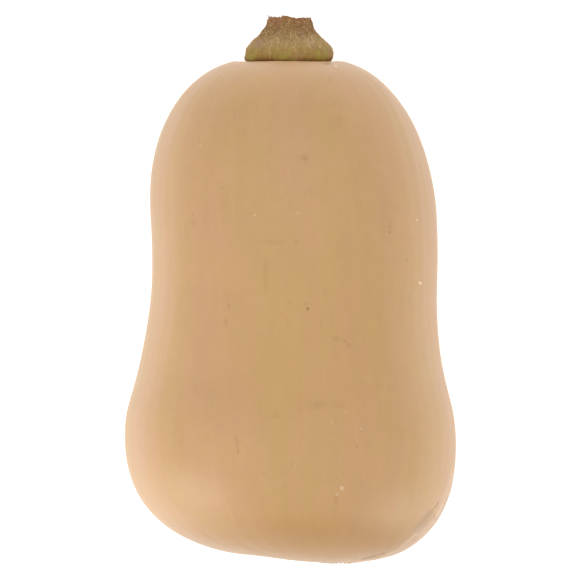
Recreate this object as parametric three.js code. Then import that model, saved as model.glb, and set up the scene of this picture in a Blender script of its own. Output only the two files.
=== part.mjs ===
// A butternut squash as picked, lying on its side: the fruit, and the stub of stem left on it.
// Millimetres, +Z up. The squash lies along Y, its stem end towards +Y and its blossom end towards -Y.
// The origin is on the surface that it lies on, under the middle of the whole squash.
import * as THREE from "three";

// The fruit's outline, as heights along its axis from the blossom end and radii from the axis.
const bulbRadius = 62.7;
const bulbHeight = 45.5;
const neckRadius = 54;
const neckHeight = 129.5;
const crownHeight = 190;
const crownFlatRadius = 15.8;

// How far each curve of the outline runs straight before it turns.
const blossomEndReach = 22;
const belowBulbReach = 46.5;
const aboveBulbReach = 23;
const belowNeckReach = 70.7;
const aboveNeckReach = 49;
const crownReach = 11.8;

// What makes the fruit uneven: its bend, its waist, its skewed blossom end, its flatter depth and its ribs.
const bend = { sideways: 2.15, height: 115, spread: 30, lean: -0.7 };
const waist = { nip: 0.45, height: 99, spread: 16 };
const backBend = { depth: 1.5, height: 95, spread: 60 };
const blossomSkew = { slope: 0.08, fadesBy: 70 };
const depthShare = 0.975;
const ribs = { count: 10, relief: 0.22, lobes: 5, lobeRelief: 0.3 };

// The scar that the flower left, off to one side, and the shallow seat round the stem.
const scar = { x: 19, depth: -7, radius: 5, rimRadius: 8, pit: 1.2, rim: 0.45 };
const seat = { dip: 0.9, flatRadius: 17.2, rimRadius: 21 };

// The stem: its flared foot, its neck and its torn tip.
const stemGap = 0.35;
const footRadius = 15.8;
const flareRadius = 16.5;
const flareHeight = 4.4;
const tipRadius = 8;
const tipHeight = 17;
const stemCentre = { x: -0.35, lean: 0.01 };
const firstRidge = THREE.MathUtils.degToRad(94);
const stemRidges = { count: 5, atFoot: 0.05, atWaist: 0.09, atTip: 0.06 };
const tornTip = { rimTeeth: 0.75, hollow: 1.1 };

// How it lies: its underside touches near the bulb and near the shoulder, and both touching spots are
// pressed flat. Each touch has its height along the axis and its depth below it.
const bulbTouch = { height: 51, depth: 60.5 };
const shoulderTouch = { height: 143, depth: 51.9 };
const pressed = 2.2;
const pressedBlend = 0.5;

const fruitRings = 54;
const fruitSides = 64;
const stemRings = 18;
const stemSides = 60;
const tipRings = 5;

const { cos, sin, atan2, exp, hypot, max, min, PI } = Math;

function smoothStep(x, low, high) {
  return THREE.MathUtils.smoothstep(x, low, high);
}

// One curve of an outline, its four points given as radius and height.
function curve(...points) {
  return new THREE.CubicBezierCurve(...points.map(([r, h]) => new THREE.Vector2(r, h)));
}

function fruitOutline() {
  const path = new THREE.CurvePath();
  path.add(
    curve(
      [0, 0],
      [blossomEndReach, 0],
      [bulbRadius, bulbHeight - belowBulbReach],
      [bulbRadius, bulbHeight],
    ),
  );
  path.add(
    curve(
      [bulbRadius, bulbHeight],
      [bulbRadius, bulbHeight + aboveBulbReach],
      [neckRadius, neckHeight - belowNeckReach],
      [neckRadius, neckHeight],
    ),
  );
  path.add(
    curve(
      [neckRadius, neckHeight],
      [neckRadius, neckHeight + aboveNeckReach],
      [crownFlatRadius + crownReach, crownHeight],
      [crownFlatRadius, crownHeight],
    ),
  );
  path.add(
    curve(
      [crownFlatRadius, crownHeight],
      [crownFlatRadius * (2 / 3), crownHeight],
      [crownFlatRadius / 3, crownHeight],
      [0, crownHeight],
    ),
  );
  return path.getSpacedPoints(fruitRings);
}

// A closed surface of rings, each with the same number of sides, between two single end points.
function closedSkin(rings, sides, place) {
  const positions = [];
  const faces = [];
  const add = (point) => positions.push(point.x, point.y, point.z);
  add(place(0, 0));
  for (let ring = 1; ring < rings; ring++) {
    for (let side = 0; side < sides; side++) add(place(ring, (side / sides) * 2 * PI));
  }
  add(place(rings, 0));
  const last = 1 + (rings - 1) * sides;
  const at = (ring, side) => 1 + (ring - 1) * sides + (side % sides);
  for (let side = 0; side < sides; side++) {
    faces.push(0, at(1, side), at(1, side + 1));
    faces.push(last, at(rings - 1, side + 1), at(rings - 1, side));
    for (let ring = 1; ring < rings - 1; ring++) {
      faces.push(at(ring, side), at(ring + 1, side + 1), at(ring, side + 1));
      faces.push(at(ring, side), at(ring + 1, side), at(ring + 1, side + 1));
    }
  }
  const skin = new THREE.BufferGeometry();
  skin.setAttribute("position", new THREE.Float32BufferAttribute(positions, 3));
  skin.setIndex(faces);
  skin.computeVertexNormals();
  return skin;
}

// A height on the outline between the blossom end and the bulb, at a radius.
function outlineHeight(outline, radius) {
  let i = 1;
  while (outline[i].x < radius && outline[i + 1].x > outline[i].x) i++;
  const [a, b] = [outline[i - 1], outline[i]];
  return THREE.MathUtils.mapLinear(min(radius, b.x), a.x, b.x, a.y, b.y);
}

// The middle of the fruit at a height: across, and in depth towards the side that faces up.
function fruitMiddle(height) {
  const bow = bend.sideways * exp(-(((height - bend.height) / bend.spread) ** 2));
  const back = backBend.depth * exp(-(((height - backBend.height) / backBend.spread) ** 2));
  return { x: bow + (bend.lean * height) / crownHeight, depth: back };
}

// The faint ribs and lobes, which fade out towards both ends, and the slight nip of the waist.
function skinRelief(angle, height) {
  const fade = smoothStep(height, 0, 30) * (1 - smoothStep(height, 150, crownHeight));
  const rib = ribs.relief * cos(ribs.count * angle);
  const lobe = ribs.lobeRelief * cos(ribs.lobes * angle + 1);
  const nip = waist.nip * exp(-(((height - waist.height) / waist.spread) ** 2));
  return fade * (rib + lobe) - nip;
}

// Lays a point down: x across, height along the axis, depth away from the axis on the upper side.
function lay({ x, height, depth }) {
  const slope = atan2(bulbTouch.depth - shoulderTouch.depth, shoulderTouch.height - bulbTouch.height);
  const lift = bulbTouch.depth * cos(slope) + bulbTouch.height * sin(slope) - pressed;
  const y = height * cos(slope) + depth * sin(slope);
  const z = depth * cos(slope) - height * sin(slope) + lift;
  return new THREE.Vector3(x, y, pressFlat(z));
}

// Presses everything that is below the surface flat onto it, with a soft edge.
function pressFlat(z) {
  if (z >= pressedBlend) return z;
  if (z <= -pressedBlend) return 0;
  return (z + pressedBlend) ** 2 / (4 * pressedBlend);
}

function makeFruit() {
  const outline = fruitOutline();
  const bulbRing = outline.findIndex((point) => point.y >= bulbHeight);
  const place = (ring, angle) => {
    let { x: radius, y: height } = outline[ring];
    let across = radius * cos(angle);
    let deep = radius * sin(angle);
    // Below the bulb the rings draw in round the scar, and keep to the same surface.
    if (ring < bulbRing) {
      const draw = (1 - (radius / bulbRadius) ** 2) ** 2;
      across += scar.x * draw;
      deep += scar.depth * draw;
      height = outlineHeight(outline, hypot(across, deep));
    }
    const fromAxis = max(hypot(across, deep), 1e-6);
    const swell = 1 + skinRelief(angle, height) / fromAxis;
    const middle = fruitMiddle(height);
    const x = middle.x + across * swell;
    const depth = middle.depth + deep * swell * depthShare;
    const skewFade = 1 - smoothStep(height, 0, blossomSkew.fadesBy);
    height -= blossomSkew.slope * across * skewFade;
    if (ring < bulbRing) height += scarRelief(across, deep);
    else if (height > neckHeight) height -= seatDip(radius);
    return lay({ x, height, depth });
  };
  return closedSkin(fruitRings, fruitSides, place);
}

// The blossom scar: a small pit with a low rim round it.
function scarRelief(across, deep) {
  const away = hypot(across - scar.x, deep - scar.depth);
  const pit = scar.pit * (1 - smoothStep(away, 0, scar.radius));
  const rim = scar.rim * exp(-(((away - scar.radius) / (scar.rimRadius - scar.radius)) ** 2));
  return pit - rim;
}

function seatDip(radius) {
  return seat.dip * (1 - smoothStep(radius, seat.flatRadius, seat.rimRadius));
}

function stemOutline() {
  const path = new THREE.CurvePath();
  path.add(
    curve(
      [footRadius, 0],
      [flareRadius + 0.5, 1],
      [flareRadius + 0.4, 2.8],
      [flareRadius, flareHeight],
    ),
  );
  path.add(
    curve(
      [flareRadius, flareHeight],
      [flareRadius - 1.2, flareHeight + 4],
      [tipRadius + 1, tipHeight - 7.4],
      [tipRadius, tipHeight],
    ),
  );
  return path.getSpacedPoints(stemRings);
}

// How far the stem's five ridges stand out or its valleys lie in, as a share of its radius.
function stemRidge(angle, height) {
  const wave = cos(stemRidges.count * (angle - firstRidge));
  const sharp = wave > 0 ? wave ** 1.6 : wave;
  const low = smoothStep(height, flareHeight, tipHeight * 0.6);
  const high = smoothStep(height, tipHeight * 0.7, tipHeight);
  const share = stemRidges.atFoot + (stemRidges.atWaist - stemRidges.atFoot) * low;
  return sharp * (share + (stemRidges.atTip - share) * high);
}

// The torn tip: teeth round its rim, and a hollow in its middle.
function tornHeight(share, angle) {
  const teeth = sin(3 * angle + 0.6) * 0.5 + sin(7 * angle + 2) * 0.3 + sin(11 * angle) * 0.2;
  return tornTip.rimTeeth * teeth * share - tornTip.hollow * (1 - share ** 2);
}

function makeStem() {
  const outline = stemOutline();
  const bottom = crownHeight - seat.dip + stemGap;
  const rings = stemRings + 2 * tipRings;
  const place = (ring, angle) => {
    let radius, height;
    if (ring <= tipRings) {
      // The underside, which follows the seat.
      radius = footRadius * (ring / tipRings);
      height = 0;
    } else if (ring < tipRings + stemRings) {
      ({ x: radius, y: height } = outline[ring - tipRings]);
      height += tornHeight(1, angle) * smoothStep(height, tipHeight * 0.75, tipHeight);
    } else {
      const share = (rings - ring) / tipRings;
      radius = tipRadius * share;
      height = tipHeight + tornHeight(share, angle);
    }
    radius *= 1 + stemRidge(angle, height);
    const x = stemCentre.x + stemCentre.lean * height + radius * cos(angle);
    return lay({ x, height: bottom + height, depth: radius * sin(angle) });
  };
  return closedSkin(rings, stemSides, place);
}

function named(name, geometry, colour, roughness) {
  const material = new THREE.MeshStandardMaterial({ color: colour, roughness, metalness: 0 });
  const mesh = new THREE.Mesh(geometry, material);
  mesh.name = name;
  return mesh;
}

const squash = new THREE.Group();
squash.add(named("fruit", makeFruit(), 0xcfa577, 0.5));
squash.add(named("stem", makeStem(), 0x9d7d4e, 0.85));

// Puts the origin under the middle of the whole squash.
const box = new THREE.Box3().setFromObject(squash);
const middle = box.getCenter(new THREE.Vector3());
squash.position.set(-middle.x, -middle.y, 0);

export default squash;
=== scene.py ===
"""Dresses a butternut squash that lies on its side: the fruit in its rind, and the dry stub of its stem.

Lengths are in metres. The squash lies along Y with its stem end towards +Y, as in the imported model.
A place on the squash is also given in its own directions: across, height along the axis from the
blossom end, and depth towards the side that faces up.
"""

import math

import bpy
import numpy as np
from bpy.props import FloatProperty, FloatVectorProperty, IntProperty, PointerProperty
from mathutils import Matrix, Vector


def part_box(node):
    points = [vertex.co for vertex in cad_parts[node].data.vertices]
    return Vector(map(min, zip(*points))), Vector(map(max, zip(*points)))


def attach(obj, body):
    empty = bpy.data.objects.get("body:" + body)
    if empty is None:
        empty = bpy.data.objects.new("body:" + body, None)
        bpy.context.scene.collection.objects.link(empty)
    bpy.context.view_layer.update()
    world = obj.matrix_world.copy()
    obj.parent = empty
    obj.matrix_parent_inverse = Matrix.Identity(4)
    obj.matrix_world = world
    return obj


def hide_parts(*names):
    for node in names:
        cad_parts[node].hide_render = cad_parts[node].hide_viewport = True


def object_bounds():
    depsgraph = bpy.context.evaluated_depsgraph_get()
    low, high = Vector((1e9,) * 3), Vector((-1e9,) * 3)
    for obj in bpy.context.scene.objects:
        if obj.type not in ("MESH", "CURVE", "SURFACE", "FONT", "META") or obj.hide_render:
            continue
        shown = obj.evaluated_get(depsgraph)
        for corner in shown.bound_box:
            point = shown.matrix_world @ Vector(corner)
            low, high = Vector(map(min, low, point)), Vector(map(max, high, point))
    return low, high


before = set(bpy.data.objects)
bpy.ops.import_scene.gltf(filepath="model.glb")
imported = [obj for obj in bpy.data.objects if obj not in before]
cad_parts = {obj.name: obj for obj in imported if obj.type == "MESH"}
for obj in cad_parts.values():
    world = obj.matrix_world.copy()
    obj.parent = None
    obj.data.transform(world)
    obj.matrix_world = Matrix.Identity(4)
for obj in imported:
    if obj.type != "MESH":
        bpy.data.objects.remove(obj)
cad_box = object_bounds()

bl_info = {
    "name": "Butternut squash",
    "version": (1, 0, 0),
    "blender": (4, 5, 0),
    "location": "3D View > Sidebar > Squash",
    "description": "Adds a butternut squash lying on its side, with its stem, its rind and a plain stage",
    "category": "Add Mesh",
}

MM = 0.001


def length(name, description, default):
    return FloatProperty(name=name, description=description, default=default, unit="LENGTH", precision=5)


def share(name, description, default):
    return FloatProperty(name=name, description=description, default=default, min=0, max=1, subtype="FACTOR")


def strength(name, description, default):
    return FloatProperty(name=name, description=description, default=default, min=0)


def colour(name, description, default):
    return FloatVectorProperty(
        name=name, description=description, default=default, min=0, max=1, subtype="COLOR"
    )


class FruitSizes(bpy.types.PropertyGroup):
    """The sizes of the fruit, which are those of the solid."""

    bulb_radius: length("Bulb radius", "Radius of the fruit at its widest", 0.0627)
    bulb_height: length("Bulb height", "Height of the widest place above the blossom end", 0.0455)
    neck_radius: length("Neck radius", "Radius of the neck", 0.054)
    neck_height: length("Neck height", "Height at which the neck is straight", 0.1295)
    crown_height: length("Crown height", "Height of the crown that the stem sits on", 0.190)
    crown_flat_radius: length("Crown flat", "Radius of the flat of the crown", 0.0158)
    blossom_end_reach: length("Blossom end reach", "How far the blossom end runs flat", 0.022)
    below_bulb_reach: length("Below bulb reach", "How far the side runs straight below the bulb", 0.0465)
    above_bulb_reach: length("Above bulb reach", "How far the side runs straight above the bulb", 0.023)
    below_neck_reach: length("Below neck reach", "How far the side runs straight below the neck", 0.0707)
    above_neck_reach: length("Above neck reach", "How far the side runs straight above the neck", 0.049)
    crown_reach: length("Crown reach", "How far the crown runs flat outside its own flat", 0.0118)
    depth_share: share("Depth share", "Depth of the fruit as a share of its width", 0.975)
    lumps: length("Lumps", "Relief of the wide shallow lumps of the rind", 0.00014)
    flutes: length("Flutes", "Relief of the fine lengthwise flutes", 0.00002)
    crown_folds: length("Crown folds", "Depth of the folds round the stem", 0.00006)
    seat_swell: length("Seat swell", "How far the rind rises towards the foot of the stem", 0.00042)
    scar_folds: length("Scar folds", "Depth of the folds round the blossom scar", 0.00025)


class FruitColours(bpy.types.PropertyGroup):
    """The colours of the rind."""

    rind: colour("Rind", "Tan of the rind", (0.60, 0.355, 0.165))
    pink: colour("Pink bands", "Pinkish tan of some lengthwise bands", (0.605, 0.350, 0.178))
    ochre: colour("Ochre bands", "Yellower tan of the bands between them", (0.585, 0.358, 0.155))
    crown: colour("Crown", "Paler rind round the stem", (0.63, 0.39, 0.21))
    mark: colour("Marks", "Brown of the small marks", (0.24, 0.125, 0.045))
    healed: colour("Healed scrape", "Pale skin over the healed scrape", (0.70, 0.47, 0.29))
    cork: colour("Cork", "Grey brown cork of the blossom scar", (0.34, 0.22, 0.12))
    # Painted shade: a darker, warmer tan laid over the blossom end.
    blossom_end_shade: colour("Blossom end", "Warmer and darker tan of the blossom end", (0.455, 0.235, 0.070))
    # Also the colour of a painted highlight on the crown beside the stem.
    bloom_and_glint: colour("Bloom", "Pale wax on specks and edges", (0.86, 0.68, 0.47))
    # A tint with less blue, laid over the middle of the side that faces up.
    upper_middle_tint: colour("Warm side", "Tint of the side that ripened in the sun", (1.0, 0.99, 0.86))


class StemSizes(bpy.types.PropertyGroup):
    """The sizes of the stem, which are those of the solid."""

    gap: length("Gap", "Gap between the stem's foot and its seat", 0.00035)
    foot_radius: length("Foot radius", "Radius of the foot where it meets the fruit", 0.0158)
    flare_radius: length("Flare radius", "Radius of the foot at its widest", 0.0165)
    flare_height: length("Flare height", "Height of the widest place above the foot", 0.0044)
    tip_radius: length("Tip radius", "Radius of the torn tip", 0.008)
    tip_height: length("Tip height", "Height of the torn tip above the foot", 0.017)
    rim_teeth: length("Rim teeth", "Height of the teeth round the torn tip", 0.00075)
    hollow: length("Hollow", "Depth of the hollow in the torn tip", 0.0011)
    warts: IntProperty(name="Warts", description="Number of warts on the stem", default=1500, min=0)
    wart_height: length("Wart height", "Height of a wart", 0.00016)
    bristles: IntProperty(name="Bristles", description="Number of short bristles", default=420, min=0)
    fibres: IntProperty(name="Fibres", description="Number of torn fibres round the tip", default=70, min=0)


class StemColours(bpy.types.PropertyGroup):
    """The colours of the stem."""

    olive: colour("Olive", "Olive of the foot", (0.36, 0.22, 0.058))
    tan: colour("Tan", "Tan of the waist", (0.38, 0.245, 0.09))
    brown: colour("Brown", "Brown of the upper part", (0.205, 0.10, 0.033))
    rust: colour("Rust", "Reddish brown of the torn rim", (0.29, 0.115, 0.05))
    # Painted shade where the foot meets the fruit and in the valleys at the foot; also the gaps between the
    # granules.
    crease_shade: colour("Crease", "Dark brown of the crease at the foot", (0.24, 0.12, 0.026))
    green: colour("Green", "Yellow green that is left on the foot", (0.35, 0.29, 0.05))
    granule: colour("Granules", "Beige of the warts and of the dry grain", (0.64, 0.44, 0.20))
    flush: colour("Flush", "Pinkish brown of parts of the flanks", (0.37, 0.215, 0.115))
    fibre: colour("Fibres", "Grey beige of the dry fibres", (0.42, 0.34, 0.25))


class StageSettings(bpy.types.PropertyGroup):
    """The floor, the light and the camera."""

    floor_size: length("Floor size", "Side of the square floor", 12.0)
    floor_glow: strength("Floor glow", "How much the floor shines by itself", 0.52)
    room_left: strength("Room, left", "Brightness of the white room on the left", 0.51)
    room_right: strength("Room, right", "Brightness of the white room on the right", 0.47)
    room_front: strength("Room, front", "Brightness of the white room beyond the blossom end", 0.05)
    room_back: strength("Room, back", "Brightness of the white room beyond the stem", 0.42)
    room_top: strength("Room, top", "Brightness of the white room overhead", 1.49)
    left_window: strength("Left window", "Power of the soft window on the lower left, in watts", 0.41)
    right_window: strength("Right window", "Power of the soft window on the lower right, in watts", 0.2)
    window_width: length("Window width", "Width of a soft window", 0.20)
    window_height: length("Window height", "Height of a soft window", 0.20)
    window_distance: length("Window distance", "How far a soft window is from the bulb", 0.38)
    lens: FloatProperty(name="Lens", description="Focal length of the camera in millimetres", default=1200)
    view_width: length("View width", "Width that the camera sees at the middle of the squash", 0.22268)
    view_across: length("View across", "Middle of the view across the squash", 0.00098)
    view_height: length("View height", "Middle of the view along the squash's axis", 0.1014)


# What makes the fruit uneven, as in the solid.
BEND_SIDEWAYS, BEND_HEIGHT, BEND_SPREAD, BEND_LEAN = 2.15 * MM, 115 * MM, 30 * MM, -0.7 * MM
BACK_BEND, BACK_HEIGHT, BACK_SPREAD = 1.5 * MM, 95 * MM, 60 * MM
WAIST_NIP, WAIST_HEIGHT, WAIST_SPREAD = 0.45 * MM, 99 * MM, 16 * MM
SKEW_SLOPE, SKEW_FADES_BY = 0.08, 70 * MM
RIB_COUNT, RIB_RELIEF, LOBE_COUNT, LOBE_RELIEF = 10, 0.22 * MM, 5, 0.3 * MM
SCAR_ACROSS, SCAR_DEPTH, SCAR_RADIUS, SCAR_RIM = 19 * MM, -7 * MM, 5 * MM, 8 * MM
SCAR_PIT, SCAR_LIP = 1.2 * MM, 0.45 * MM
SEAT_DIP, SEAT_FLAT, SEAT_RIM = 0.9 * MM, 17.2 * MM, 21 * MM
RIBS_FADE_IN, RIBS_FADE_OUT = 30 * MM, 150 * MM

# The rind's own relief, finer than the solid's. The corner and the hollow of the blossom end each have how
# far they stand out or lie in, where across, their spread across and their spread along the axis.
LUMP_SIZE, SMALL_LUMP_SIZE, SMALL_LUMP_SHARE = 34 * MM, 12 * MM, 0.35
FLUTE_COUNTS, FLUTE_RING = (17, 23, 31, 42), 20 * MM
CROWN_FOLD_COUNT, CROWN_FOLD_RADIUS, CROWN_FOLD_SPREAD = 17, 22 * MM, 7 * MM
SCAR_FOLD_COUNT, SCAR_FOLD_RADIUS, SCAR_FOLD_SPREAD = 21, 9 * MM, 6 * MM
SWELL_FLAT, SWELL_RIM = 17.3 * MM, 20 * MM
CORNER = (0.65 * MM, 40 * MM, 11 * MM, 9 * MM)
HOLLOW = (-0.45 * MM, -10 * MM, 9 * MM, 6 * MM)

# How far apart the rind's lenticels and stray marks are, how the patterns of the rind and the stem are drawn
# out along them, and the share of a thin line's half width that has its full strength.
LENTICELS_APART, STRAY_MARKS_APART = 5.5 * MM, 22 * MM
RIND_STRETCH, STEM_STRETCH = 0.11, 0.12
LINE_CORE = 0.25

# The stem's ridges, as in the solid, and its warts, whose sizes are in millimetres.
RIDGE_COUNT, RIDGE_AT_FOOT, RIDGE_AT_WAIST, RIDGE_AT_TIP = 5, 0.05, 0.09, 0.06
WART_SIZES, WARTS_FROM, WARTS_RANGE = (0.17, 0.34), 0.18, 0.8

# The least and the most length and radius of the bristles and of the torn fibres, in millimetres.
BRISTLE_LENGTHS, BRISTLE_RADII = (0.3, 0.75), (0.02, 0.035)
FIBRE_LENGTHS, FIBRE_RADII = (0.4, 1.3), (0.04, 0.09)

# The torn edge of the stem: how high it stands, where across and over what width, in millimetres.
TORN_EDGE = ((0.60, -1.9, 2.4), (-0.25, 3.3, 1.8), (0.20, 5.2, 1.0), (-0.25, -4.6, 1.0))

# How the fruit lies: the height and depth of its two touching places, and how far they are pressed flat.
BULB_TOUCH = (51 * MM, 60.5 * MM)
SHOULDER_TOUCH = (143 * MM, 51.9 * MM)
PRESSED, PRESSED_BLEND = 2.2 * MM, 0.5 * MM
LEAN = math.atan2(BULB_TOUCH[1] - SHOULDER_TOUCH[1], SHOULDER_TOUCH[0] - BULB_TOUCH[0])
LIFT = BULB_TOUCH[1] * math.cos(LEAN) + BULB_TOUCH[0] * math.sin(LEAN) - PRESSED

SOLID_RINGS, SOLID_SIDES = 55, 64
FRUIT_RINGS, FRUIT_SIDES = 272, 360
STEM_SIDES, UNDER_RINGS, FLANK_RINGS, TIP_RINGS = 420, 10, 150, 38
FIRST_RIDGE = math.radians(94)

# Where the soft windows shine: at the bulb, from these sides of it.
WINDOW_TARGET = Vector((0, -0.06, 0.05))
LEFT_WINDOW_WAY = Vector((-0.79, -0.56, 0.27))
RIGHT_WINDOW_WAY = Vector((0.80, -0.60, 0.10))

# Small marks on the rind: across, height, half width, half height, all in millimetres, and darkness.
SPOTS = (
    (6.6, 95.5, 0.85, 0.75, 0.8),
    (6.0, 97.3, 1.3, 0.5, 0.22),
    (5.8, 152.4, 1.6, 1.4, 0.18),
    (5.0, 152.9, 3.6, 2.6, 0.09),
    (24.2, 147.0, 0.5, 0.7, 0.2),
    (49.3, 149.7, 0.5, 0.8, 0.18),
    (14.9, 182.5, 1.0, 2.2, 0.12),
    (16.4, 173.1, 1.0, 2.0, 0.07),
    (18.4, 167.0, 0.9, 1.7, 0.08),
    (14.0, 188.6, 2.6, 0.9, 0.4),
    (2.2, 120.8, 1.0, 0.9, 0.18),
    (-5.4, 120.6, 7.0, 1.3, 0.08),
    (-14.5, 131.9, 0.7, 0.4, 0.14),
    (-12.1, 132.0, 0.7, 0.4, 0.16),
    (-25.9, 141.0, 1.8, 0.8, 0.12),
    (-29.1, 139.7, 0.4, 0.5, 0.16),
    (-36.8, 131.2, 0.8, 0.9, 0.18),
    (-36.6, 128.2, 1.6, 2.4, 0.10),
    (-9.2, 108.0, 1.6, 9.5, 0.12),
    (-23.0, 96.6, 0.8, 1.8, 0.16),
    (-24.4, 90.3, 1.3, 2.6, 0.12),
    (0.0, 97.9, 1.6, 0.7, 0.13),
    (-0.9, 90.7, 1.0, 2.2, 0.08),
    (37.7, 124.4, 0.6, 0.8, 0.36),
    (37.8, 127.2, 0.4, 1.8, 0.2),
    (44.2, 113.8, 0.9, 1.0, 0.14),
    (3.0, 81.0, 1.6, 0.9, 0.07),
    (17.3, 84.2, 2.4, 1.3, 0.12),
    (3.2, 69.2, 1.3, 1.0, 0.09),
    (3.4, 57.5, 2.4, 1.5, 0.07),
    (10.3, 59.1, 3.8, 2.4, 0.07),
    (18.5, 58.7, 2.8, 1.4, 0.06),
    (11.8, 59.6, 12.0, 2.8, 0.05),
    (17.3, 52.9, 0.5, 0.9, 0.15),
    (15.2, 48.8, 1.1, 0.6, 0.13),
    (26.8, 49.1, 0.8, 0.5, 0.16),
    (27.0, 50.9, 2.2, 1.2, 0.05),
    (25.2, 43.6, 0.7, 1.1, 0.2),
    (0.6, 37.0, 1.1, 1.6, 0.11),
    (20.1, 32.9, 0.6, 1.5, 0.11),
    (-10.2, 37.8, 0.5, 1.5, 0.08),
    (-19.5, 41.3, 0.6, 0.7, 0.26),
    (17.3, 22.9, 1.6, 2.4, 0.15),
    (-5.5, 55.5, 3.2, 2.2, 0.07),
    (33.2, 66.3, 2.6, 2.0, 0.07),
    (-9.7, 33.1, 1.1, 1.3, 0.1),
    (36.2, 132.0, 4.5, 16.0, 0.06),
    (-24.9, 137.0, 3.5, 5.0, 0.05),
    (17.0, 166.0, 4.0, 5.0, 0.05),
    (-24.0, 99.0, 3.0, 7.0, 0.05),
    (8.2, 140.0, 4.5, 3.0, 0.045),
)

# Pale specks, and one painted highlight beside the stem: across, height and half width in millimetres, and
# paleness.
PALE_SPECKS_AND_GLINT = (
    (49.3, 105.2, 0.9, 0.75),
    (48.1, 129.2, 0.8, 0.45),
    (19.6, 27.8, 1.2, 0.5),
    (17.7, 25.3, 0.9, 0.3),
    (20.7, 56.6, 0.6, 0.25),
    (16.0, 52.5, 0.6, 0.3),
    (26.9, 50.2, 0.6, 0.45),
    (-13.3, 130.8, 0.6, 0.5),
    (2.9, 131.7, 0.9, 0.18),
    # A painted highlight on the crown beside the stem.
    (17.4, 187.6, 0.8, 0.55),
    (-34.0, 157.3, 0.7, 0.22),
)

# Thin scratches: across and height of both ends and half width in millimetres, and darkness.
SCRATCHES = (
    (18.6, 84.2, 20.6, 83.3, 0.6, 0.1),
    (20.6, 83.3, 22.5, 81.3, 0.65, 0.19),
    (-20.2, 47.1, -19.5, 41.7, 0.5, 0.2),
    (27.0, 0.4, 32.1, 1.9, 0.42, 0.6),
    (32.1, 1.9, 35.5, 3.2, 0.3, 0.55),
    (30.4, 0.0, 34.0, 1.3, 0.45, 0.35),
    (50.1, 14.9, 53.1, 18.0, 0.3, 0.25),
    (53.1, 18.0, 56.1, 21.8, 0.28, 0.5),
    (56.1, 21.8, 56.9, 23.2, 0.2, 0.3),
    (54.7, 16.7, 54.9, 15.1, 0.25, 0.4),
    (51.9, 13.4, 52.3, 12.3, 0.22, 0.3),
)

# Coloured patches of the stem: colour, across, height, half width, half height, in millimetres, and amount.
STEM_PATCHES = (
    ("green", -15.8, 190.7, 2.2, 2.4, 0.65),
    ("green", -4.6, 191.5, 3.2, 2.6, 0.4),
    ("green", 13.4, 192.7, 1.3, 3.2, 0.6),
    ("flush", -12.2, 196.1, 2.2, 2.8, 0.8),
    ("flush", 9.4, 194.9, 2.0, 1.6, 0.3),
    # Painted shadow along the foot of the stem, where it meets the fruit.
    ("crease_shade", -10.5, 189.9, 4.2, 0.9, 0.4),
    ("crease_shade", 7.0, 190.0, 6.6, 1.0, 0.35),
    ("crease_shade", 4.7, 190.3, 2.6, 0.9, 0.25),
    ("rust", 3.4, 205.5, 3.2, 1.4, 0.5),
    ("rust", -5.8, 205.7, 1.4, 1.4, 0.4),
    ("granule", 6.9, 197.4, 3.4, 3.6, 0.26),
    ("brown", -1.5, 203.2, 6.5, 1.4, 0.35),
)

# Pale wisps of dry grain on the stem, as places along each line: across and height in millimetres.
STEM_WISPS = (
    ((-7.4, 196.9), (-8.3, 193.9), (-7.9, 190.7)),
    ((-0.2, 197.3), (1.1, 194.9), (2.1, 192.9)),
    ((6.8, 197.5), (7.2, 194.7)),
    ((4.9, 193.0), (6.1, 192.9)),
    ((4.4, 191.8), (3.8, 190.6)),
    ((-0.2, 200.5), (0.2, 198.1)),
    ((1.7, 200.7), (3.1, 197.5)),
    ((-4.6, 200.5), (-5.1, 197.9), (-4.4, 196.1)),
    ((6.1, 202.9), (7.2, 200.1)),
    ((7.5, 199.1), (9.1, 196.6)),
    ((10.7, 195.4), (11.1, 194.8)),
    ((-3.2, 203.3), (-3.5, 201.1)),
    ((-1.8, 196.3), (-2.1, 194.5)),
)

# A scrape at the corner of the blossom end, now healed: its middle, the way that it runs, the way that it
# faces, and half its length and width.
SCRAPE_MIDDLE = np.array((44.5, 10.0, 1.0)) * MM
SCRAPE_RUN = np.array((0.82, 0.574, 0))
SCRAPE_FACES = np.array((0.574, -0.82, 0))
SCRAPE_HALF_LENGTH, SCRAPE_HALF_WIDTH = 27 * MM, 18 * MM
SCRAPE_SUNKEN, SCRAPE_EDGE = 0.12 * MM, 0.04 * MM


def smooth_step(x, low, high):
    t = np.clip((x - low) / (high - low), 0, 1)
    return t * t * (3 - 2 * t)


def bell(x, middle, spread):
    return np.exp(-(((x - middle) / spread) ** 2))


def bezier(*points, steps=200):
    t = np.linspace(0, 1, steps)[:, None]
    a, b, c, d = (np.array(p, float) for p in points)
    return (1 - t) ** 3 * a + 3 * (1 - t) ** 2 * t * b + 3 * (1 - t) * t**2 * c + t**3 * d


def even_steps(path, count):
    """Points evenly spaced along a path of close points, and their lengths along it."""
    steps = np.hypot(*np.diff(path, axis=0).T)
    along = np.concatenate([[0], np.cumsum(steps)])
    even = np.linspace(0, along[-1], count)
    return np.interp(even, along, path[:, 0]), np.interp(even, along, path[:, 1]), even


def waves(points, size, seed, count=12):
    """A smooth uneven relief of about -1 to 1, with features of about the given size."""
    rng = np.random.default_rng(seed)
    total = 0
    for _ in range(count):
        way = rng.normal(size=3)
        way *= math.tau / (size * rng.uniform(1.4, 2.6) * np.linalg.norm(way))
        total = total + np.sin(points @ way + rng.uniform(0, math.tau))
    return total / math.sqrt(count)


def lay(across, height, depth):
    """Lays places on the squash down on the floor, and presses flat what would reach below it."""
    y = height * math.cos(LEAN) + depth * math.sin(LEAN)
    z = depth * math.cos(LEAN) - height * math.sin(LEAN) + LIFT
    soft = (z + PRESSED_BLEND) ** 2 / (4 * PRESSED_BLEND)
    z = np.where(z >= PRESSED_BLEND, z, np.where(z <= -PRESSED_BLEND, 0, soft))
    return np.stack(np.broadcast_arrays(across, y, z), axis=-1)


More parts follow.
